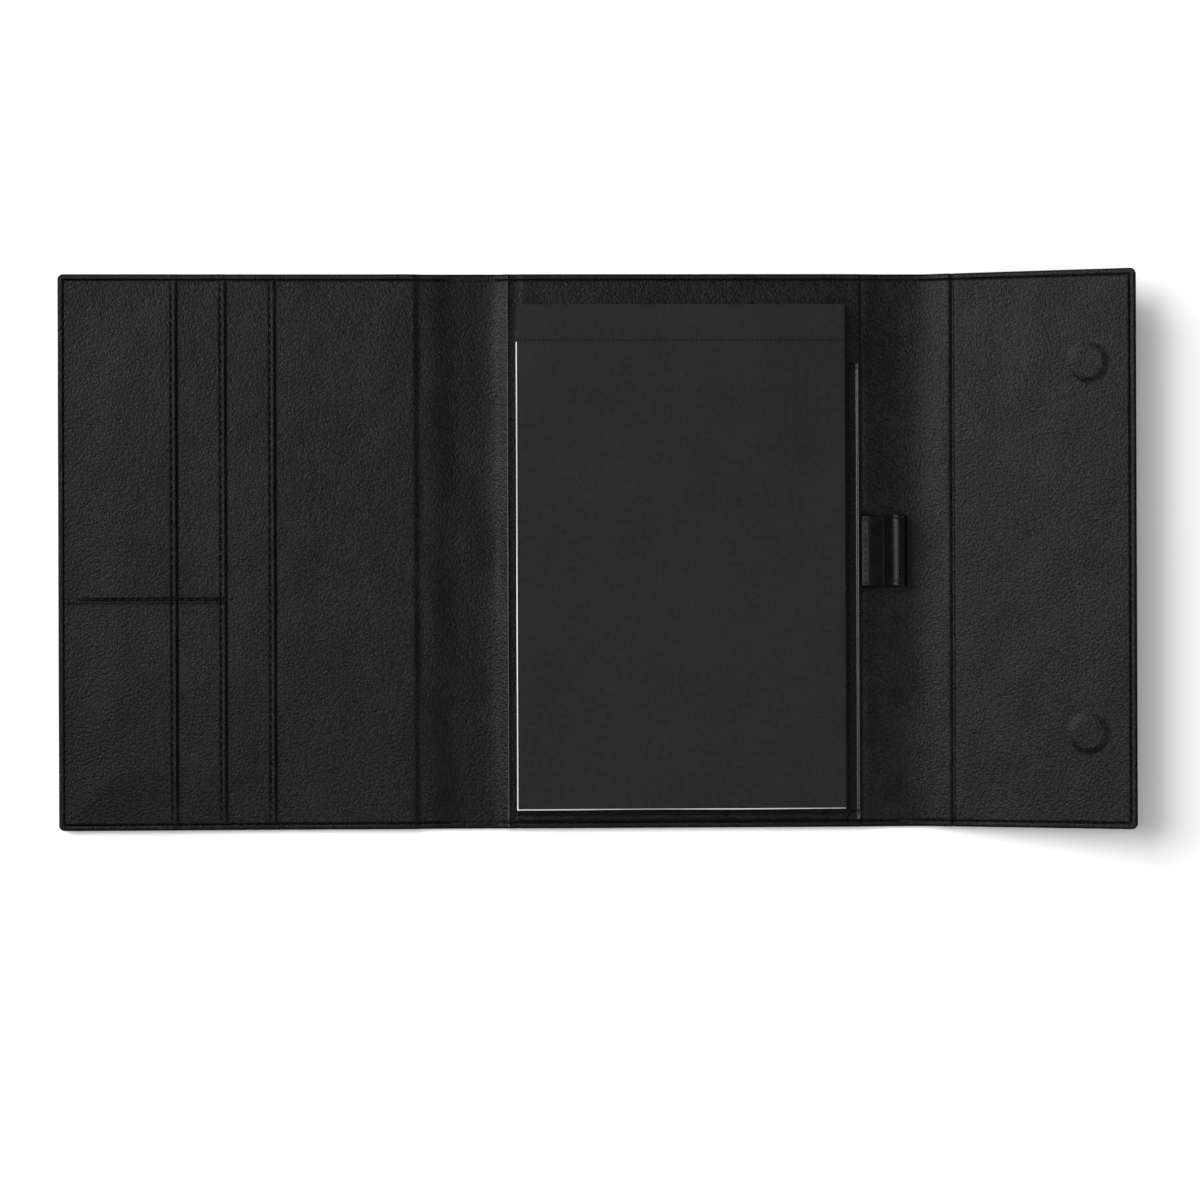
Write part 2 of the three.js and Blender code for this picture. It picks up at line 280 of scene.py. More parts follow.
def leather(
    name,
    dark,
    light,
    rough=0.5,
    grain=900.0,
    grain_depth=0.0002,
    mottle=0.3,
    wrinkle=0.00004,
    spec=0.12,
    painted_light=False,
):
    """Grained leather: small pebbles of uneven size, soft mottling and a
    slightly uneven surface."""
    m, nt, b = new_mat(name)
    L = nt.links.new
    tc = node(nt, "ShaderNodeTexCoord")
    co = tc.outputs["Object"]
    warp = node(nt, "ShaderNodeTexNoise", Scale=260.0, Detail=2.0)
    L(co, warp.inputs["Vector"])
    mix = nt.nodes.new("ShaderNodeMix")
    mix.data_type = "VECTOR"
    mix.inputs["Factor"].default_value = 0.0009
    L(co, mix.inputs[4])
    L(warp.outputs["Color"], mix.inputs[5])
    pebble = node(
        nt,
        "ShaderNodeTexVoronoi",
        _feature="SMOOTH_F1",
        Scale=grain,
        Smoothness=0.5,
        Randomness=1.0,
    )
    L(mix.outputs[1], pebble.inputs["Vector"])
    cells = node(
        nt, "ShaderNodeTexVoronoi", _feature="DISTANCE_TO_EDGE", Scale=grain * 1.2
    )
    L(mix.outputs[1], cells.inputs["Vector"])
    crease = math_node(nt, "MULTIPLY", cells.outputs["Distance"], 2.2, True)
    fine = node(nt, "ShaderNodeTexNoise", Scale=1900.0, Detail=3.0, Roughness=0.6)
    L(co, fine.inputs["Vector"])
    big = node(nt, "ShaderNodeTexNoise", Scale=42.0, Detail=4.0, Roughness=0.55)
    L(co, big.inputs["Vector"])
    mid = node(nt, "ShaderNodeTexNoise", Scale=170.0, Detail=3.0, Roughness=0.6)
    L(co, mid.inputs["Vector"])
    # colour: darker in the creases, lighter on the pebbles, mottled
    h = math_node(nt, "MULTIPLY", pebble.outputs["Distance"], -1.0)
    h = math_node(nt, "ADD", h, math_node(nt, "MULTIPLY", crease, 0.35))
    h = math_node(nt, "ADD", h, math_node(nt, "MULTIPLY", fine.outputs["Fac"], 0.35))
    ramp_in = math_node(
        nt,
        "ADD",
        math_node(nt, "MULTIPLY", h, 0.7),
        math_node(nt, "MULTIPLY", big.outputs["Fac"], mottle * 2.0),
    )
    ramp_in = math_node(
        nt, "ADD", ramp_in, math_node(nt, "MULTIPLY", mid.outputs["Fac"], mottle)
    )
    ramp = nt.nodes.new("ShaderNodeValToRGB")
    ramp.color_ramp.elements[0].position = 0.2
    ramp.color_ramp.elements[0].color = (*dark, 1)
    ramp.color_ramp.elements[1].position = 0.85
    ramp.color_ramp.elements[1].color = (*light, 1)
    L(ramp_in, ramp.inputs["Fac"])
    if painted_light:
        # painted light and shade: the colour is darker at the cover's outer edge and in the left spine's valley,
        # lighter on the cover's right part and brightest on the flap, where the light falls
        xyz = nt.nodes.new("ShaderNodeSeparateXYZ")
        L(co, xyz.inputs[0])
        along = nt.nodes.new("ShaderNodeMapRange")
        for key, v in (("From Min", -0.25), ("From Max", 0.25), ("To Min", 0.0), ("To Max", 1.0)):
            along.inputs[key].default_value = v
        L(xyz.outputs[0], along.inputs["Value"])
        painted_light_ramp = nt.nodes.new("ShaderNodeValToRGB")
        painted_light_ramp.color_ramp.interpolation = "EASE"
        stops = [(-0.242, 0.42), (-0.215, 0.62), (-0.18, 1.0), (-0.1, 1.15), (-0.078, 1.0), (-0.068, 0.5), (-0.055, 0.5), (-0.043, 1.0), (0.12, 1.0), (0.16, 1.4)]
        els = painted_light_ramp.color_ramp.elements
        while len(els) < len(stops):
            els.new(0.5)
        for el, (x, f) in zip(els, stops):
            el.position = (x + 0.25) / 0.5
            el.color = (f * 0.5, f * 0.5, f * 0.5, 1)
        L(along.outputs[0], painted_light_ramp.inputs["Fac"])
        place = math_node(nt, "MULTIPLY", painted_light_ramp.outputs["Color"], 2.0)
        mul = nt.nodes.new("ShaderNodeMix")
        mul.data_type = "RGBA"
        mul.blend_type = "MULTIPLY"
        mul.inputs["Factor"].default_value = 1.0
        L(ramp.outputs["Color"], mul.inputs[6])
        L(place, mul.inputs[7])
        L(mul.outputs[2], b.inputs["Base Color"])
    else:
        L(ramp.outputs["Color"], b.inputs["Base Color"])
    r = nt.nodes.new("ShaderNodeMapRange")
    r.inputs["From Min"].default_value = 0.25
    r.inputs["From Max"].default_value = 0.75
    r.inputs["To Min"].default_value = rough - 0.07
    r.inputs["To Max"].default_value = rough + 0.08
    L(mid.outputs["Fac"], r.inputs["Value"])
    L(r.outputs[0], b.inputs["Roughness"])
    b.inputs["Specular IOR Level"].default_value = spec
    b1 = node(nt, "ShaderNodeBump", Strength=1.0, Distance=wrinkle)
    L(mid.outputs["Fac"], b1.inputs["Height"])
    b2 = node(nt, "ShaderNodeBump", Strength=1.0, Distance=grain_depth)
    L(h, b2.inputs["Height"])
    L(b1.outputs[0], b2.inputs["Normal"])
    L(b2.outputs[0], b.inputs["Normal"])
    return m


def thread_mat(name, color):
    m, nt, b = new_mat(name)
    L = nt.links.new
    tc = node(nt, "ShaderNodeTexCoord")
    wave = node(nt, "ShaderNodeTexNoise", Scale=4200.0, Detail=2.0)
    L(tc.outputs["Object"], wave.inputs["Vector"])
    ramp = nt.nodes.new("ShaderNodeValToRGB")
    ramp.color_ramp.elements[0].color = (*[c * 0.55 for c in color], 1)
    ramp.color_ramp.elements[1].color = (*color, 1)
    L(wave.outputs["Fac"], ramp.inputs["Fac"])
    L(ramp.outputs[0], b.inputs["Base Color"])
    bp = node(nt, "ShaderNodeBump", Strength=0.7, Distance=0.00006)
    L(wave.outputs["Fac"], bp.inputs["Height"])
    L(bp.outputs[0], b.inputs["Normal"])
    b.inputs["Roughness"].default_value = 0.6
    b.inputs["Specular IOR Level"].default_value = 0.1
    return m


def card_mat(name, dark, light):
    """Matte card with a fine felt texture and a row of small cuts along the
    crease."""
    m, nt, b = new_mat(name)
    L = nt.links.new
    tc = node(nt, "ShaderNodeTexCoord")
    co = tc.outputs["Object"]
    fine = node(nt, "ShaderNodeTexNoise", Scale=1500.0, Detail=4.0, Roughness=0.65)
    L(co, fine.inputs["Vector"])
    fibre = node(nt, "ShaderNodeTexNoise", Scale=420.0, Detail=3.0, Roughness=0.6)
    L(co, fibre.inputs["Vector"])
    big = node(nt, "ShaderNodeTexNoise", Scale=30.0, Detail=3.0)
    L(co, big.inputs["Vector"])
    s = math_node(nt, "MULTIPLY", fine.outputs["Fac"], 0.4)
    s = math_node(nt, "ADD", s, math_node(nt, "MULTIPLY", fibre.outputs["Fac"], 0.35))
    s = math_node(nt, "ADD", s, math_node(nt, "MULTIPLY", big.outputs["Fac"], 0.25))
    # cuts of the perforation: dented, with near-black painted shade in them
    sep = nt.nodes.new("ShaderNodeSeparateXYZ")
    L(co, sep.inputs[0])
    dy = math_node(nt, "ABSOLUTE", math_node(nt, "SUBTRACT", sep.outputs["Y"], 0.0949))
    band = math_node(nt, "LESS_THAN", dy, 0.00032)
    sx = math_node(nt, "SINE", math_node(nt, "MULTIPLY", sep.outputs["X"], 2 * math.pi / 0.0021))
    dots = math_node(nt, "MULTIPLY", band, math_node(nt, "GREATER_THAN", sx, 0.1))
    ramp = nt.nodes.new("ShaderNodeValToRGB")
    ramp.color_ramp.elements[0].position = 0.35
    ramp.color_ramp.elements[0].color = (*dark, 1)
    ramp.color_ramp.elements[1].position = 0.65
    ramp.color_ramp.elements[1].color = (*light, 1)
    L(s, ramp.inputs["Fac"])
    mix = nt.nodes.new("ShaderNodeMix")
    mix.data_type = "RGBA"
    L(dots, mix.inputs["Factor"])
    L(ramp.outputs["Color"], mix.inputs[6])
    mix.inputs[7].default_value = (0.003, 0.003, 0.003, 1)
    L(mix.outputs[2], b.inputs["Base Color"])
    height = math_node(nt, "SUBTRACT", s, math_node(nt, "MULTIPLY", dots, 0.9))
    bp = node(nt, "ShaderNodeBump", Strength=0.8, Distance=0.00012)
    L(height, bp.inputs["Height"])
    L(bp.outputs[0], b.inputs["Normal"])
    b.inputs["Roughness"].default_value = 0.6
    b.inputs["Specular IOR Level"].default_value = 0.12
    return m


def paper_mat(name):
    """A block of sheets: darker fine lines along the edges, painted shade between the leaves; plain faces."""
    m, nt, b = new_mat(name)
    L = nt.links.new
    tc = node(nt, "ShaderNodeTexCoord")
    mp = nt.nodes.new("ShaderNodeMapping")
    mp.inputs["Scale"].default_value = (60.0, 60.0, 9000.0)
    L(tc.outputs["Object"], mp.inputs["Vector"])
    leaf = node(nt, "ShaderNodeTexNoise", Scale=1.0, Detail=2.0, Roughness=0.7)
    L(mp.outputs[0], leaf.inputs["Vector"])
    ramp = nt.nodes.new("ShaderNodeValToRGB")
    ramp.color_ramp.elements[0].position = 0.3
    ramp.color_ramp.elements[0].color = (0.42, 0.41, 0.38, 1)
    ramp.color_ramp.elements[1].position = 0.7
    ramp.color_ramp.elements[1].color = (0.74, 0.73, 0.70, 1)
    L(leaf.outputs["Fac"], ramp.inputs["Fac"])
    up = nt.nodes.new("ShaderNodeSeparateXYZ")
    L(tc.outputs["Normal"], up.inputs[0])
    flat = math_node(nt, "GREATER_THAN", math_node(nt, "ABSOLUTE", up.outputs[2]), 0.8)
    page = nt.nodes.new("ShaderNodeMix")
    page.data_type = "RGBA"
    L(flat, page.inputs["Factor"])
    L(ramp.outputs["Color"], page.inputs[6])
    page.inputs[7].default_value = (0.72, 0.71, 0.68, 1)
    L(page.outputs[2], b.inputs["Base Color"])
    bp = node(nt, "ShaderNodeBump", Strength=0.6, Distance=0.0001)
    side = math_node(nt, "SUBTRACT", 1.0, flat)
    L(math_node(nt, "MULTIPLY", leaf.outputs["Fac"], side), bp.inputs["Height"])
    L(bp.outputs[0], b.inputs["Normal"])
    b.inputs["Roughness"].default_value = 0.85
    b.inputs["Specular IOR Level"].default_value = 0.3
    return m


def fibre_mat(name, dark, light):
    m, nt, b = new_mat(name)
    L = nt.links.new
    tc = node(nt, "ShaderNodeTexCoord")
    n1 = node(nt, "ShaderNodeTexNoise", Scale=700.0, Detail=5.0, Roughness=0.7)
    L(tc.outputs["Object"], n1.inputs["Vector"])
    ramp = nt.nodes.new("ShaderNodeValToRGB")
    ramp.color_ramp.elements[0].position = 0.35
    ramp.color_ramp.elements[0].color = (*dark, 1)
    ramp.color_ramp.elements[1].position = 0.68
    ramp.color_ramp.elements[1].color = (*light, 1)
    L(n1.outputs["Fac"], ramp.inputs["Fac"])
    L(ramp.outputs["Color"], b.inputs["Base Color"])
    bp = node(nt, "ShaderNodeBump", Strength=0.5, Distance=0.00015)
    L(n1.outputs["Fac"], bp.inputs["Height"])
    L(bp.outputs[0], b.inputs["Normal"])
    b.inputs["Roughness"].default_value = 0.92
    return m


def steel_mat(name):
    m, nt, b = new_mat(name)
    L = nt.links.new
    tc = node(nt, "ShaderNodeTexCoord")
    n1 = node(nt, "ShaderNodeTexNoise", Scale=900.0, Detail=4.0)
    L(tc.outputs["Object"], n1.inputs["Vector"])
    ramp = nt.nodes.new("ShaderNodeValToRGB")
    ramp.color_ramp.elements[0].color = (0.42, 0.42, 0.43, 1)
    ramp.color_ramp.elements[1].color = (0.66, 0.66, 0.67, 1)
    L(n1.outputs["Fac"], ramp.inputs["Fac"])
    L(ramp.outputs["Color"], b.inputs["Base Color"])
    r = nt.nodes.new("ShaderNodeMapRange")
    r.inputs["To Min"].default_value = 0.22
    r.inputs["To Max"].default_value = 0.42
    L(n1.outputs["Fac"], r.inputs["Value"])
    L(r.outputs[0], b.inputs["Roughness"])
    b.inputs["Metallic"].default_value = 1.0
    return m


MAT_OUTER = leather("outer_leather", (0.002, 0.002, 0.002), (0.0105, 0.0105, 0.0107), 0.4)
# the lining and pocket leathers get painted shade and painted light laid into their colour by position
MAT_LINING = leather("lining_leather", (0.002, 0.002, 0.002), (0.0125, 0.0125, 0.0127), 0.37, painted_light=True)
MAT_POCKET = leather("pocket_leather", (0.002, 0.002, 0.002), (0.0122, 0.0122, 0.0124), 0.37, painted_light=True)
MAT_LOOP = leather(
    "loop_leather", (0.002, 0.002, 0.002), (0.006, 0.006, 0.0062), 0.22,
    grain=1500.0, grain_depth=0.000015, wrinkle=0.00006,
)
# dark edge paint on the cut edges; at the pocket mouths it also serves as painted shade under the mouth
MAT_EDGE_PAINT_AND_SHADE = leather("edge_paint_and_shade", (0.0012, 0.0012, 0.0012), (0.003, 0.003, 0.003), 0.55, spec=0.05)
# glossy edge leather with a much lighter colour: a painted highlight on the pad pocket's lip and on the crest by the
# centre panel
MAT_PAINTED_HIGHLIGHT = leather("burnished_painted_highlight", (0.014, 0.014, 0.014), (0.034, 0.034, 0.0343), 0.3, grain=1500.0, grain_depth=0.00003, spec=0.6)
MAT_THREAD = thread_mat("thread", (0.0034, 0.0034, 0.0035))
MAT_CARD = card_mat("cover_card", (0.0062, 0.0064, 0.0067), (0.0151, 0.0155, 0.0162))
MAT_PAPER = paper_mat("paper")
MAT_BACK = fibre_mat("backing_board", (0.16, 0.14, 0.115), (0.34, 0.3, 0.26))
MAT_BOARD = fibre_mat("stiffener_board", (0.13, 0.11, 0.09), (0.3, 0.26, 0.21))
MAT_STEEL = steel_mat("steel")

for nname, mat in {
    "back_board": MAT_BOARD,
    "front_board": MAT_BOARD,
    "flap_board": MAT_BOARD,
    "pad_backing_board": MAT_BACK,
    "upper_keeper_plate": MAT_STEEL,
    "lower_keeper_plate": MAT_STEEL,
    "upper_magnet": MAT_STEEL,
    "lower_magnet": MAT_STEEL,
}.items():
    ob = frame["nodes"][nname]
    for s in ob.material_slots:
        s.material = mat
    if not ob.material_slots:
        ob.data.materials.append(mat)

# ------------------------------------------------------------ surface shape
PROFILE = profile(
    [
        (LEFT - 5, 3.0),
        (-150.0, 2.78),
        (-120.0, 2.95),
        (-84.0, 3.2),
        (-81.4, 3.2),
        (-80.8, 2.88),
        (-80.1, 2.42),
        (-79.3, 2.12),
        (-78.2, 2.04),
        (-75.0, 2.0),
        (-73.4, 1.95),
        (-72.0, 1.84),
        (-70.0, 1.6),
        (-67.0, 1.22),
        (-64.0, 0.86),
        (-62.0, 0.68),
        (-60.0, 0.6),
        (-57.0, 0.57),
        (-54.0, 0.56),
        (-50.0, 0.64),
        (-46.8, 0.84),
        (-44.5, 1.18),
        (-43.0, 1.64),
        (-42.0, 2.07),
        (-41.0, 2.5),
        (-40.0, 2.9),
        (-39.2, 3.3),
        (-38.8, 3.32),
        (-38.3, 2.9),
        (-37.7, 2.75),
        (-36.5, 2.7),
        (-35.9, 2.4),
        (-34.2, 2.4),
        (-33.0, 3.0),
        (C_RIGHT - 1.0, 3.0),
        (C_RIGHT - 0.3, 2.8),
        (C_RIGHT + 0.1, 2.35),
        (C_RIGHT + 0.7, 2.45),
        (124.4, 2.5),
        (127.0, 2.2),
        (131.0, 1.75),
        (136.0, 1.25),
        (140.0, 0.9),
        (143.0, 0.88),
        (146.0, 1.0),
        (149.0, 1.37),
        (153.0, 2.12),
        (158.0, 2.99),
        (161.0, 3.33),
        (163.0, 3.45),
        (163.8, 2.85),
        (164.2, 2.05),
        (164.6, 1.95),
        (165.0, 2.6),
        (165.4, 3.05),
        (166.5, 3.08),
        (U_END + 5, 3.0),
    ]
)
W_LONG = waves(3, 75.0, 0.10)
W_MID = waves(5, 26.0, 0.035)
W_SPINE = waves(11, 34.0, 0.13)


def free_edge(U, Y, left=True, right=True):
    d = HALF - np.abs(Y)
    if left:
        d = np.minimum(d, U - LEFT)
    if right:
        d = np.minimum(d, U_END - U)
    return np.maximum(d, 0.0)


def lining_top(U, Y):
    d = free_edge(U, Y)
    base = PROFILE(U)
    # the pockets' layers are sewn into the border
    for edge in P_EDGES:
        base = base + 0.3 * smooth((edge - U) / 1.5) * (1 - smooth((d - 2.0) / 26.0))
    soft = smooth((U - A_RIGHT) / 4) * smooth((C_LEFT - U) / 4) + smooth(
        (U - C_RIGHT) / 4
    ) * smooth((U4 - U) / 4)
    base = base + W_LONG(U, Y) * 0.8 + W_MID(U, Y) + soft * W_SPINE(U * 1.7, Y * 0.45)
    # room for the pen loop, which lies close on the spine
    under = smooth((U - C_RIGHT - 0.2) / 1.0) * smooth((146 - U) / 4)
    under = under * smooth((18.6 - np.abs(Y + 0.35)) / 2.5)
    base = base * (1 - under) + np.minimum(base, 1.08) * under
    # magnets under the flap's lining
    for mu, my in MAGNETS:
        r = np.hypot(U - mu, Y - my)
        base = base + 0.95 * smooth((9.7 - r) / 3.2)
    # sewn border: a turned strip, then the groove of the seam
    n = base - 0.3 * (1 - smooth((d - SEAM) / 0.5)) - 0.6 * bump1(d, SEAM, 0.34)
    n = n - 0.85 * smooth((0.75 - d) / 0.75) ** 1.5
    return np.maximum(n, 0.55)


def lining_bottom(U, Y):
    n = np.maximum(lining_top(U, Y) - 0.8, 0.12)
    edge = smooth((3.4 - free_edge(U, Y)) / 0.8)
    return n * (1 - edge) + 0.12 * edge


def skin_top(U, Y):
    return np.full_like(U, 0.1) - 0.25 * smooth((0.3 - free_edge(U, Y)) / 0.3)


def skin_bottom(U, Y):
    d = free_edge(U, Y)
    n = -0.9 + 0.5 * smooth((0.6 - d) / 0.6) ** 1.5 + 0.16 * bump1(d, SEAM, 0.4)
    for f, w in ((F1, 1.3), (F2, 1.3), (F3, 1.3), (U4, 1.1)):
        n = n + 0.22 * bump1(U, f, w)
    return n


DENSE_FOLD = [
    (-84.0, -72.0, 0.4),
    (-72.0, -48.0, 1.0),
    (-48.0, -37.0, 0.4),
    (118.5, 127.0, 0.4),
    (127.0, 158.0, 1.0),
    (158.0, U4 + 6, 0.35),
]
M1, M2, M3 = -60.0, 40.0, 139.0
YL = y_lines(2.0)
YF = y_lines(2.0, [(70.0, 96.0, 0.7), (-96.0, -70.0, 0.7)])
fold_u = lambda a, b: lines(a, b, 2.0, DENSE_FOLD)

U_S1 = np.concatenate([edge_u(LEFT, -1)[:-1], fold_u(LEFT + EDGE[-1], M1)])
U_S2 = fold_u(M1, M2)
U_S3 = lines(M2, M3, 2.0, DENSE_FOLD)
U_S4 = np.concatenate(
    [
        lines(M3, U_END - EDGE[-1], 2.0, DENSE_FOLD + [(U4 + 50, U4 + 75, 0.7)]),
        edge_u(U_END, 1)[:-1][::-1],
    ]
)

SKINS = [
    ("front", U_S1, YL, ("front_cover", "left_spine"), (F1 - 2.2, F1 + 5.0), [(LEFT, -1)]),
    ("left_back", U_S2, YL, ("left_spine", "back_panel"), (F2 - 5.0, F2 + 2.2), []),
    ("right_back", U_S3, YL, ("back_panel", "right_spine"), (F3 - 1.6, F3 + 5.0), []),
    ("flap", U_S4, YF, ("right_spine", "flap"), (F4 - 4.0, F4 + 1.8), [(U_END, 1)]),
]
NODES = {
    "front": (["front_outer_leather"], ["front_lining"]),
    "left_back": (["left_spine_leather"], ["left_spine_lining"]),
    "right_back": (["back_outer_leather", "right_spine_leather"], ["back_lining", "right_spine_lining"]),
    "flap": (["flap_outer_leather"], ["flap_lining"]),
}


def blend_x(ob):
    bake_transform(ob)


rim = (MAT_EDGE_PAINT_AND_SHADE, lambda um, ym: free_edge(um, ym) < 0.85)
for key, us, ys, bodies, span, cs in SKINS:
    # a narrow strip on the crest at u = -39.1 gets the lighter lip leather as a painted highlight
    lin = shell(key + "_lining_skin", us, ys, lining_top, lining_bottom, MAT_LINING, corners=cs, paint=[rim, (MAT_PAINTED_HIGHLIGHT, lambda um, ym: np.abs(um + 39.1) < 0.25)])
    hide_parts(*NODES[key][1])
    blend_x(lin)
    out = shell(key + "_outer_skin", us, ys, skin_top, skin_bottom, MAT_OUTER, corners=cs, paint=[rim])
    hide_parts(*NODES[key][0])
    blend_x(out)

# ------------------------------------------------------------ pockets
def pocket_rise(U, Y, i):
    """How far pocket i gapes, zero at its seams."""
    if i == 0:
        g = 1 - (Y / P_Y) ** 2
    else:
        up = np.clip((Y - DIV_Y) / (P_Y - DIV_Y), 0, 1)
        dn = np.clip((DIV_Y - Y) / (P_Y + DIV_Y), 0, 1)
        g = 4 * np.where(Y > DIV_Y, up * (1 - up), dn * (1 - dn))
    reach = smooth((U - (P_EDGES[i] - 42)) / 44.0)
    return (0.35, 0.3, 0.45)[i] * np.maximum(g, 0) ** 0.7 * reach


W_P = [waves(21, 60.0, 0.06), waves(22, 50.0, 0.06), waves(23, 40.0, 0.07)]


def pocket_top(i):
    def f(U, Y):
        d = np.minimum(P_Y - np.abs(Y), U - P_LEFT)
        t = 0.04 + 0.6 * smooth(d / 26.0)
        n = lining_top(U, Y) + (i + 1) * t
        n = n + sum(pocket_rise(U, Y, j) for j in range(i + 1))
        n = n + sum(W_P[j](U, Y) * smooth(d / 8) for j in range(i + 1)) * 0.6
        # rounded sides along the seams
        if i > 0:
            n = n - np.minimum(0.6, 0.85 * i * t) * bump1(Y, DIV_Y + 0.35, 0.5) * smooth((P_EDGES[i] - U) / 1.0)
            n = n + 0.3 * bump1(Y, DIV_Y - 0.95, 0.5)
        # turned mouth: a seam, then a rounded ridge that drops at the edge
        e = P_EDGES[i] - U
        n = n - 0.4 * bump1(e, 2.95, 0.36) + 0.4 * smooth((2.7 - e) / 0.75)
        n = n - (0.38 + 0.8 * (t + pocket_rise(U, Y, i))) * smooth((1.25 - e) / 1.2)
        return n

    return f


def pocket_bottom(i):
    t = pocket_top(i)

    def f(U, Y):
        if i == 0:
            low = lining_top(U, Y) + 0.04
        else:
            low = pocket_top(i - 1)(U, Y) + 0.03
        return np.minimum(np.maximum(t(U, Y) - 1.05, low), t(U, Y) - 0.3)

    return f


for i, (nname, edge) in enumerate(
    zip(("document_pocket", "rear_card_pocket", "front_card_pocket"), P_EDGES)
):
    us = np.concatenate(
        [
            P_LEFT + np.array([0, 0.08, 0.2, 0.4, 0.7, 1.1, 1.6, 2.2, 3.0, 4.0]),
            lines(P_LEFT + 5.2, edge - 4.0, 2.0),
            edge - np.array([3.7, 3.4, 3.2, 3.0, 2.8, 2.6, 2.4, 2.1, 1.8, 1.5, 1.25, 1.05, 0.85, 0.65, 0.45, 0.3, 0.15, 0.05, 0]),
        ]
    )
    e = [0, 0.08, 0.2, 0.4, 0.7, 1.1, 1.6, 2.2, 3.0, 4.0]
    ys = np.concatenate(
        [
            [-P_Y + q for q in e],
            lines(-P_Y + 5.2, P_Y - 5.2, 2.0, [(DIV_Y - 3, DIV_Y + 3, 0.3)]),
            [P_Y - q for q in e][::-1],
        ]
    )
    # the last 0.3 mm of each mouth and the pocket sides get the dark edge paint, which here is also painted shade under
    # the mouth
    ob = shell(nname + "_leather", us, ys, pocket_top(i), pocket_bottom(i), MAT_POCKET, paint=[(MAT_EDGE_PAINT_AND_SHADE, lambda um, ym: edge - um < 0.3)])
    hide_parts(nname)
    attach(ob, "front_cover")


# ------------------------------------------------------------ pad pocket
def pad_pocket_top(U, Y):
    z = np.full_like(U, 6.05)
    # past the pad's board it comes down to the lining, then to a sewn lip
    z = z - 1.15 * smooth((U - 114.0) / 3.2) - 0.3 * smooth((U - 117.0) / 2.4)
    lip = smooth((U - 119.6) / 0.9)
    z = z + (0.42 + 0.07 * np.sin(Y * 3.3 + np.sin(Y * 0.9))) * lip - 0.9 * smooth((U - 120.55) / 0.42) ** 2
    z = z - 1.1 * smooth((-118.0 - Y) / 2.2)
    z = z - 0.25 * smooth((-121.8 - Y) / 0.6)
    e = 85.2 - Y
    z = z - 0.3 * bump1(e, 2.3, 0.35) - 0.45 * smooth((0.5 - e) / 0.5) ** 2
    z = z + W_MID(U * 1.3, Y * 1.3) * 1.3 * smooth((U - 113.3) / 2)
    return z - FZ


pp = shell(
    "pad_pocket_leather",
    np.concatenate(
        [
            [-34.9, -34.6],
            lines(-34.0, 112.0, 4.0),
            lines(112.6, 121.0, 0.35, [(119.3, 121.0, 0.13)]),
        ]
    ),
    np.concatenate(
        [
            [-122.4, -122.2, -121.9, -121.5, -121.0],
            lines(-120.4, 81.5, 0.7, [(-120.4, -116, 0.5)]),
            [82.0, 82.4, 82.7, 82.9, 83.1, 83.4, 83.8, 84.3, 84.7, 84.9, 85.05, 85.15, 85.2],
        ]
    ),
    pad_pocket_top,
    lambda U, Y: np.maximum(
        pad_pocket_top(U, Y) - 0.95,
        np.where((U > 114.2) | (Y < -117.5), 3.04, 4.1),
    ),
    MAT_POCKET,
    # the sewn lip gets the lighter lip leather as a painted highlight
    paint=[(MAT_PAINTED_HIGHLIGHT, lambda um, ym: um > 119.4)],
)
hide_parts("pad_pocket")
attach(pp, "back_panel")


# ------------------------------------------------------------ pad
def flat_place(u, y, n):
    u, y, n = np.broadcast_arrays(u, y, n)
    return np.stack([u, y, n], -1)


def sheets_top(U, Y):
    return np.full_like(U, 11.58) - 0.12 * smooth((0.3 - np.minimum(U + 35.1, 113.5 - U)) / 0.3)


# the block of sheets, very slightly uneven along its open edges
ys = np.concatenate([[PAD_BOTTOM, -116.95, -116.8, -116.0], lines(-114.0, 84.0, 6.0), [85.8, 86.2, 94.0, 94.6, 95.0, 96.0, 110.4, 110.9]])
us = np.concatenate([[-35.1, -34.95, -34.7, -33.9], lines(-32.0, 110.0, 6.0), [112.7, 113.2, 113.5]])


def sheet_place(u, y, n):
    u, y, n = np.broadcast_arrays(u, y, n)
    stub = smooth((y - 94.2) / 0.8)
    k = (11.58 - n) / 5.5
    x = np.where(u < -34, u + 0.9 * stub + 0.25 * k + 0.05 * np.sin(y * 0.05) - 0.0004 * (95 - y) * (1 - stub), u)
    x = np.maximum(x, -35.25)
    yy = np.where(y < -115, y + 0.2 * k + 0.1 * np.sin(u * 0.07), y)
    return np.stack([x, yy, n], -1)


sheets = shell(
    "pad_sheet_block",
    us,
    ys,
    sheets_top,
    lambda U, Y: np.where(Y > 94.3, 5.02, 6.12),
    MAT_PAPER,
    place=sheet_place,
    sharp=30,
)
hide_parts("pad_sheets")
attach(sheets, "back_panel")


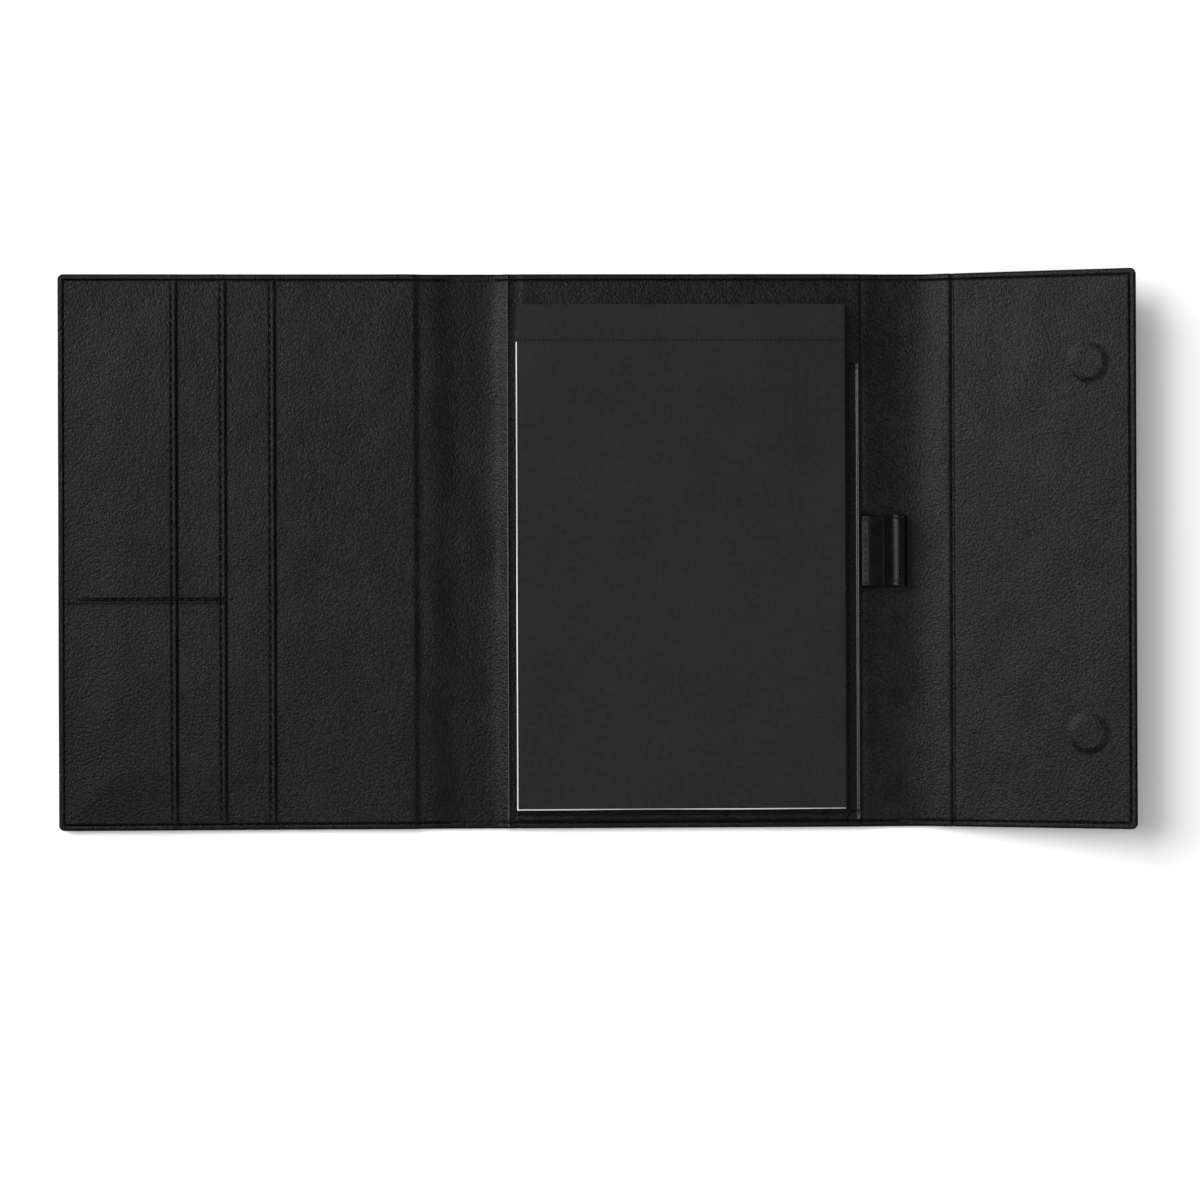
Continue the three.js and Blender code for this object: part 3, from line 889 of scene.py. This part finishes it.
def sweep(name, path, across, thick, mat, put, taper=None, sharp=50):
    """A strip along a 2-D path, centre line given, drawn out over across.
    put(a, p, q) places a point: a across, (p, q) in the path's plane."""
    p = np.asarray(path, float)
    t = np.gradient(p, axis=0)
    t /= np.linalg.norm(t, axis=1)[:, None]
    nrm = np.stack([-t[:, 1], t[:, 0]], -1)
    across = np.asarray(across, float)
    half = np.full(len(across), thick / 2) if taper is None else taper(across) * thick / 2
    P = p[:, None, :]
    N = nrm[:, None, :]
    H = half[None, :, None]
    upper = P + N * H
    lower = P - N * H
    A = np.broadcast_to(across[None, :], upper.shape[:2])
    v = np.concatenate(
        [put(A, upper[..., 0], upper[..., 1]).reshape(-1, 3), put(A, lower[..., 0], lower[..., 1]).reshape(-1, 3)]
    )
    nu, nv = len(p), len(across)
    n_all = nu * nv
    fs = [tuple(int(q) for q in r) for r in grid_faces(nu, nv)]
    fs += [tuple(int(q) for q in r) for r in grid_faces(nu, nv, n_all, True)]
    ring = (
        [i * nv for i in range(nu)]
        + [(nu - 1) * nv + j for j in range(1, nv)]
        + [i * nv + nv - 1 for i in range(nu - 2, -1, -1)]
        + [j for j in range(nv - 2, 0, -1)]
    )
    for k in range(len(ring)):
        a, b = ring[k], ring[(k + 1) % len(ring)]
        fs.append((a, a + n_all, b + n_all, b))
    ob = mesh_object(name, v, fs, mat, sharp_deg=sharp)
    import bmesh

    bm = bmesh.new()
    bm.from_mesh(ob.data)
    bmesh.ops.recalc_face_normals(bm, faces=bm.faces)
    bm.to_mesh(ob.data)
    bm.free()
    return ob


def catmull(points, step):
    p = np.array(points, float)
    p = np.vstack([2 * p[0] - p[1], p, 2 * p[-1] - p[-2]])
    out = []
    for i in range(1, len(p) - 2):
        n = max(2, int(np.linalg.norm(p[i + 1] - p[i]) / step))
        for k in range(n):
            t = k / n
            out.append(
                0.5
                * (
                    2 * p[i]
                    + (p[i + 1] - p[i - 1]) * t
                    + (2 * p[i - 1] - 5 * p[i] + 4 * p[i + 1] - p[i + 2]) * t * t
                    + (3 * p[i] - p[i - 1] - 3 * p[i + 1] + p[i + 2]) * t**3
                )
            )
    out.append(p[-2])
    return np.array(out)


# cover card: from the foot, up to the crease, over the head and down it
zc = PAD_Z - 0.2
path = [(COVER_BOTTOM, zc + 0.1)]
for q in lines(-115.0, 92.0, 4.0):
    path.append((q, zc + 0.12 * smooth((-80 - q) / 36)))
path += [(93.2, zc), (93.8, zc - 0.02), (94.3, zc - 0.1), (94.6, zc - 0.2), (94.9, zc - 0.26), (95.2, zc - 0.2), (95.5, zc - 0.1), (96.0, zc - 0.02), (96.8, zc)]
path += [(q, zc) for q in lines(99.0, 109.0, 2.0)]
path += [(110.2, zc), (110.7, zc - 0.06), (111.05, zc - 0.25), (111.25, zc - 0.55), (111.3, zc - 1.0), (111.3, 9.0), (111.3, 6.5), (111.3, 5.1)]
card = sweep(
    "pad_card_cover",
    path,
    np.concatenate([[PAD_X0, PAD_X0 + 0.1, PAD_X0 + 0.3], lines(PAD_X0 + 2, PAD_X1 - 2, 4.0), [PAD_X1 - 0.3, PAD_X1 - 0.1, PAD_X1]]),
    0.4,
    MAT_CARD,
    lambda a, p, q: np.stack([a, p, q], -1),
    taper=lambda a: np.where((a - PAD_X0 < 0.05) | (PAD_X1 - a < 0.05), 0.6, 1.0),
)
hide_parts("pad_cover", "pad_head_binding")
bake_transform(card)

# ------------------------------------------------------------ pen loop
loop_path = catmull(
    [
        (122.2, 2.78),
        (125.0, 2.78),
        (129.0, 2.76),
        (134.0, 2.76),
        (138.9, 2.78),
        (141.0, 3.3),
        (141.75, 5.0),
        (141.8, 7.0),
        (141.3, 8.3),
        (140.5, 8.86),
        (139.9, 9.02),
        (139.3, 9.1),
        (138.6, 9.2),
        (137.9, 9.2),
        (136.8, 8.7),
        (135.6, 7.8),
        (134.4, 6.5),
        (133.35, 5.15),
        (132.56, 4.13),
        (132.4, 4.0),
        (132.15, 3.96),
        (131.8, 3.95),
        (131.0, 3.96),
        (128.6, 4.06),
        (126.5, 4.13),
        (125.2, 4.12),
        (123.8, 4.0),
        (122.2, 3.82),
    ],
    0.35,
)
LE = [0, 0.06, 0.16, 0.3, 0.5, 0.8]
loop_y = np.concatenate(
    [[LOOP_Y0 + e for e in LE], lines(LOOP_Y0 + 1.2, LOOP_Y1 - 1.2, 0.8), [LOOP_Y1 - e for e in LE][::-1]]
)


def loop_taper(a):
    e = np.minimum(a - LOOP_Y0, LOOP_Y1 - a)
    return (0.55 + 0.45 * np.sqrt(np.clip(e / 0.45, 0, 1))) * (1 - 0.22 * bump1(e, 1.7, 0.35))


loop = sweep(
    "pen_loop_strap",
    loop_path,
    loop_y,
    1.1,
    MAT_LOOP,
    lambda a, p, q: np.stack([p, a, q], -1),
    taper=loop_taper,
)
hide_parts("pen_loop")


# ------------------------------------------------------------ stitches
def stitch_mesh(name, places, mat, length=2.6, width=0.95, height=0.5, tilt=0.2):
    """places: list of (position, direction along the seam, surface normal)."""
    ns, nr = 9, 6
    s = np.linspace(-1, 1, ns)
    rad = np.sqrt(np.clip(1 - s**4, 0.03, 1))
    lift = (1 - s**2) * height * 0.55 - height * 0.28
    ang = np.linspace(0, 2 * np.pi, nr, endpoint=False)
    verts, faces = [], []
    base = 0
    for k, (p, d, n) in enumerate(places):
        p, d, n = (np.asarray(q, float) for q in (p, d, n))
        d = d / np.linalg.norm(d)
        n = n - d * (n @ d)
        n = n / np.linalg.norm(n)
        c = np.cross(n, d)
        d2 = d * math.cos(tilt) + c * math.sin(tilt)
        c2 = np.cross(n, d2)
        for j in range(ns):
            o = p + d2 * s[j] * length / 2 + n * lift[j]
            for a in ang:
                verts.append(o + c2 * (math.cos(a) * rad[j] * width / 2) + n * (math.sin(a) * rad[j] * height / 2))
        for j in range(ns - 1):
            for q in range(nr):
                q2 = (q + 1) % nr
                faces.append((base + j * nr + q, base + j * nr + q2, base + (j + 1) * nr + q2, base + (j + 1) * nr + q))
        faces.append(tuple(base + q for q in range(nr))[::-1])
        faces.append(tuple(base + (ns - 1) * nr + q for q in range(nr)))
        base += ns * nr
    ob = mesh_object(name, verts, faces, mat, sharp_deg=80)
    return ob


def surface_point(top, u, y, du=0.0, dy=0.0, sgn=1):
    e = 0.25
    f = lambda a, b: world(a, b, float(np.asarray(top(np.array([[a]]), np.array([[b]]))).ravel()[0]))
    p = f(u, y)
    tu = f(u + e, y) - f(u - e, y)
    ty = f(u, y + e) - f(u, y - e)
    n = np.cross(tu, ty) * sgn
    d = tu if du else ty
    return p, d, n / np.linalg.norm(n)


body_spans = {
    "front_cover": (LEFT + SEAM, F1 - 1.5),
    "left_spine": (F1 + 1.5, F2 - 1.5),
    "back_panel": (F2 + 1.5, F3 - 1.0),
    "right_spine": (F3 + 1.5, U4 - 3.4),
    "flap": (U4 + 3.4, U_END - SEAM),
}
for bname, (a, b) in body_spans.items():
    pts = []
    k0 = math.ceil((a - LEFT) / PITCH)
    u = LEFT + k0 * PITCH
    while u <= b:
        for y in (HALF - SEAM - 0.42, -HALF + SEAM + 0.42):
            if a + 1.2 <= u <= b - 1.2:
                pts.append(surface_point(lining_top, u, y, du=1))
                pts.append(surface_point(skin_bottom, u, y, du=1, sgn=-1))
        u += PITCH
    edge = {"front_cover": LEFT + SEAM + 0.42, "flap": U_END - SEAM - 0.42}.get(bname)
    if edge is not None:
        for y in np.arange(-HALF + SEAM + 2.0, HALF - SEAM - 1.9, PITCH):
            pts.append(surface_point(lining_top, edge, y, dy=1))
            pts.append(surface_point(skin_bottom, edge, y, dy=1, sgn=-1))
    ob = stitch_mesh(bname + "_seam_thread", pts, MAT_THREAD)
    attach(ob, bname)

pts = []
for i, edge in enumerate(P_EDGES):
    for y in np.arange(-P_Y + 3.0, P_Y - 2.5, PITCH):
        pts.append(surface_point(pocket_top(i), edge - 3.4, y, dy=1))
for x in np.arange(P_LEFT + 1.6, P_EDGES[1] - 3.0, 3.8):
    i = 2 if x < P_EDGES[2] else 1
    if abs(x - P_EDGES[2]) > 3.6:
        pts.append(surface_point(pocket_top(i), x, DIV_Y + 0.35, du=1))
pts.append(surface_point(pocket_top(0), P_EDGES[1] + 1.5, DIV_Y + 0.35, du=1))
ob = stitch_mesh("pocket_seam_thread", pts, MAT_THREAD)
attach(ob, "front_cover")

pts = []
for x in np.arange(114.6, 119.6, 2.6):
    pts.append(surface_point(pad_pocket_top, x, 82.9, du=1))
ob = stitch_mesh("pad_pocket_thread", pts, MAT_THREAD, length=1.9, width=0.4, height=0.4)
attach(ob, "back_panel")

# stitches of the pen loop: along both open ends, and where it is sewn down
pts = []
seg = np.diff(loop_path, axis=0)
arc = np.concatenate([[0], np.cumsum(np.linalg.norm(seg, axis=1))])
top_half = arc[-1] * 0.52


def on_loop(s, y, k=0.55):
    p = np.array([np.interp(s, arc, loop_path[:, 0]), np.interp(s, arc, loop_path[:, 1])])
    q = np.array([np.interp(s + 0.3, arc, loop_path[:, 0]), np.interp(s + 0.3, arc, loop_path[:, 1])])
    t = (q - p) / np.linalg.norm(q - p)
    n = np.array([t[1], -t[0]])
    o = p + n * k * 0.86
    return np.array([o[0], y, o[1]]), np.array([t[0], 0, t[1]]), np.array([n[0], 0, n[1]])


for y in (LOOP_Y0 + 1.7, LOOP_Y1 - 1.7):
    for s in np.arange(arc[-1] - 1.6, arc[-1] * 0.46, -2.7):
        pts.append(on_loop(s, y))
for y in np.arange(LOOP_Y0 + 4.6, LOOP_Y1 - 4.0, 2.75):
    p, d, n = on_loop(arc[-1] - 1.5, y)
    pts.append((p, np.array([0.0, 1.0, 0.0]), n))
loop_thread = stitch_mesh("pen_loop_thread", pts, MAT_THREAD, length=1.9, width=0.42, height=0.34)
for o in (loop, loop_thread):
    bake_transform(o)

# ------------------------------------------------------------ floor and light
fl = bpy.data.meshes.new("floor")
fl.from_pydata([(-6, -6, -0.0004), (6, -6, -0.0004), (6, 6, -0.0004), (-6, 6, -0.0004)], [], [(0, 1, 2, 3)])
floor = bpy.data.objects.new("floor", fl)
bpy.context.scene.collection.objects.link(floor)
m, nt, b = new_mat("floor")
tc = node(nt, "ShaderNodeTexCoord")
nz = node(nt, "ShaderNodeTexNoise", Scale=3.0, Detail=2.0)
nt.links.new(tc.outputs["Object"], nz.inputs["Vector"])
rp = nt.nodes.new("ShaderNodeValToRGB")
rp.color_ramp.elements[0].color = (0.93, 0.93, 0.93, 1)
rp.color_ramp.elements[1].color = (0.95, 0.95, 0.95, 1)
nt.links.new(nz.outputs["Fac"], rp.inputs["Fac"])
nt.links.new(rp.outputs["Color"], b.inputs["Base Color"])
b.inputs["Roughness"].default_value = 0.9
b.inputs["Specular IOR Level"].default_value = 0.1
fl.materials.append(m)


def area(name, loc, size, power, target=(0, 0, 0)):
    l = bpy.data.lights.new(name, "AREA")
    l.shape = "RECTANGLE"
    l.size, l.size_y = size
    l.energy = power
    o = bpy.data.objects.new(name, l)
    o.location = loc
    o.rotation_euler = (Vector(target) - Vector(loc)).to_track_quat("-Z", "Y").to_euler()
    bpy.context.scene.collection.objects.link(o)
    return o


area("key", (-2.6, 1.3, 2.75), (2.8, 2.8), 220.0)
area("top", (-0.3, 0.0, 2.4), (0.8, 0.8), 9.5)
area("fill", (1.6, -0.9, 2.2), (1.2, 1.2), 11.0)

w = bpy.data.worlds.new("studio")
w.use_nodes = True
bg = w.node_tree.nodes["Background"]
bg.inputs["Color"].default_value = (1.0, 1.0, 1.0, 1)
bg.inputs["Strength"].default_value = 0.2
bpy.context.scene.world = w
bpy.context.scene.view_settings.view_transform = "Standard"
bpy.context.scene.view_settings.look = "None"
bpy.context.scene.view_settings.exposure = 0.0

# ------------------------------------------------------------ camera
cam = bpy.data.cameras.new("camera")
cam.sensor_fit = "HORIZONTAL"
cam.sensor_width = 36.0
cam.lens = 2765.0 / 1200.0 * 36.0
cam.clip_start = 0.05
cam.clip_end = 50.0
camo = bpy.data.objects.new("camera", cam)
rv = Vector((-0.00176526412, 0.0248252579, 0.00350659971))
q = Quaternion(rv.normalized(), rv.length).inverted()
camo.matrix_world = Matrix.Translation((-0.0285, -0.02444, 1.26024)) @ q.to_matrix().to_4x4()
bpy.context.scene.collection.objects.link(camo)
bpy.context.scene.camera = camo

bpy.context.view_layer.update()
